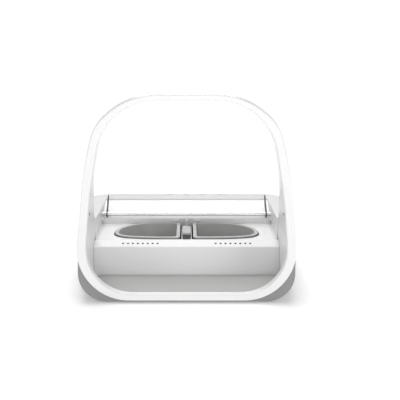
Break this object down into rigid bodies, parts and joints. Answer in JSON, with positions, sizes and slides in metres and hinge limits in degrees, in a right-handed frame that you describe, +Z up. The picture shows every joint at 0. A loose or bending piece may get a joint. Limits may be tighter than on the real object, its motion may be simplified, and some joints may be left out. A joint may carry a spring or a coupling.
{
  "type": "automatic pet feeder",
  "caption": "White tag-reading pet feeder with a closed arch, grey mat, twin grey half bowls on scales and a geared clear lid that swings back to open.",
  "frame": {"origin": "middle of the footprint at floor level", "axes": "+X to the feeder's right seen from the pet, +Y from the arch towards the rear, +Z up"},
  "size_m": [0.23, 0.315, 0.2034],
  "materials": {
    "white_shell": "satin",
    "grey_base": "fine matte texture",
    "mat_grey": "matte",
    "bowl_grey": "satin",
    "dark_grey": "satin",
    "clear_lid": "clear, glossy",
    "light_lens": "smoked lens",
    "steel": "brushed",
    "rubber": "matte",
    "gear_plastic": "natural acetal",
    "copper": "enamelled wire",
    "board_green": "solder mask",
    "battery_wrap": "printed-free wrap",
    "button_white": "satin",
    "strip_grey": "satin"
  },
  "bodies": {
    "feeder": {"lower_tub": "grey_base", "hoop_front_shell": "white_shell", "hoop_rear_shell": "white_shell", "antenna_coil": "copper", "presence_sensor_left": "light_lens", "presence_sensor_right": "light_lens", "front_wall": "white_shell", "indicator_lights_left": "light_lens", "indicator_lights_right": "light_lens", "upper_cover": "white_shell", "riser_strip": "strip_grey", "weigh_platform_left": "dark_grey", "weigh_platform_right": "dark_grey", "load_cell_left": "steel", "load_cell_right": "steel", "bowl_divider": "bowl_grey", "divider_grip": "dark_grey", "hinge_bracket_left": "clear_lid", "hinge_bracket_right": "clear_lid", "gear_plate": "steel", "idler_pin": "steel", "motor_gearbox": "dark_grey", "lid_motor": "steel", "battery_box": "grey_base", "batteries_left": "battery_wrap", "batteries_right": "battery_wrap", "battery_contacts_left": "steel", "battery_contacts_right": "steel", "circuit_board": "board_green", "rubber_feet": "rubber", "case_screws": "steel"},
    "lid": {"lid_pane": "clear_lid", "lid_front_bar": "clear_lid", "lid_end_cap_left": "clear_lid", "lid_end_cap_right": "clear_lid", "lid_strap_left": "dark_grey", "lid_strap_right": "dark_grey", "hinge_shaft": "steel", "lid_gear": "gear_plastic"},
    "idler": {"idler_gear": "gear_plastic"},
    "pinion": {"motor_pinion": "gear_plastic", "motor_shaft": "steel"},
    "bowl_left": {"bowl_left": "bowl_grey"},
    "bowl_right": {"bowl_right": "bowl_grey"},
    "mat": {"floor_mat": "mat_grey"},
    "door_left": {"battery_door_left": "grey_base"},
    "door_right": {"battery_door_right": "grey_base"},
    "button_add_pet": {"add_pet_button": "button_white"},
    "button_open_close": {"open_close_button": "button_white"},
    "button_zero": {"zero_scale_button": "button_white"},
    "delay_switch": {"close_delay_switch": "button_white"}
  },
  "joints": [
    {"name": "lid_hinge", "type": "hinge", "parent": "feeder", "child": "lid", "pos_m": [0, 0.0235, 0.055], "axis": [1, 0, 0], "range_deg": [0, 144]},
    {"name": "idler_spin", "type": "hinge", "parent": "feeder", "child": "idler", "pos_m": [0.103, 0.03104, 0.04462], "axis": [1, 0, 0], "range_deg": [-101, 0]},
    {"name": "pinion_spin", "type": "hinge", "parent": "feeder", "child": "pinion", "pos_m": [0.103, 0.03858, 0.03424], "axis": [1, 0, 0], "range_deg": [0, 144]},
    {"name": "bowl_left_lift", "type": "slide", "parent": "feeder", "child": "bowl_left", "axis": [0, 0, -1], "range_m": [-0.06, 0]},
    {"name": "bowl_right_lift", "type": "slide", "parent": "feeder", "child": "bowl_right", "axis": [0, 0, -1], "range_m": [-0.06, 0]},
    {"name": "mat_lift", "type": "slide", "parent": "feeder", "child": "mat", "axis": [0, 0, -1], "range_m": [-0.06, 0]},
    {"name": "battery_door_left_drop", "type": "slide", "parent": "feeder", "child": "door_left", "axis": [0, 0, -1], "range_m": [0, 0.04]},
    {"name": "battery_door_right_drop", "type": "slide", "parent": "feeder", "child": "door_right", "axis": [0, 0, -1], "range_m": [0, 0.04]},
    {"name": "add_pet_press", "type": "slide", "parent": "feeder", "child": "button_add_pet", "axis": [0, 0, -1], "range_m": [0, 0.001], "stiffness_N_per_m": 400},
    {"name": "open_close_press", "type": "slide", "parent": "feeder", "child": "button_open_close", "axis": [0, 0, -1], "range_m": [0, 0.001], "stiffness_N_per_m": 400},
    {"name": "zero_press", "type": "slide", "parent": "feeder", "child": "button_zero", "axis": [0, 0, -1], "range_m": [0, 0.001], "stiffness_N_per_m": 400},
    {"name": "delay_slide", "type": "slide", "parent": "feeder", "child": "delay_switch", "axis": [1, 0, 0], "range_m": [0, 0.0068]}
  ],
  "couplings": [
    {"joint": "idler_spin", "follows": "lid_hinge", "ratio": -0.7},
    {"joint": "pinion_spin", "follows": "lid_hinge", "ratio": 1}
  ]
}
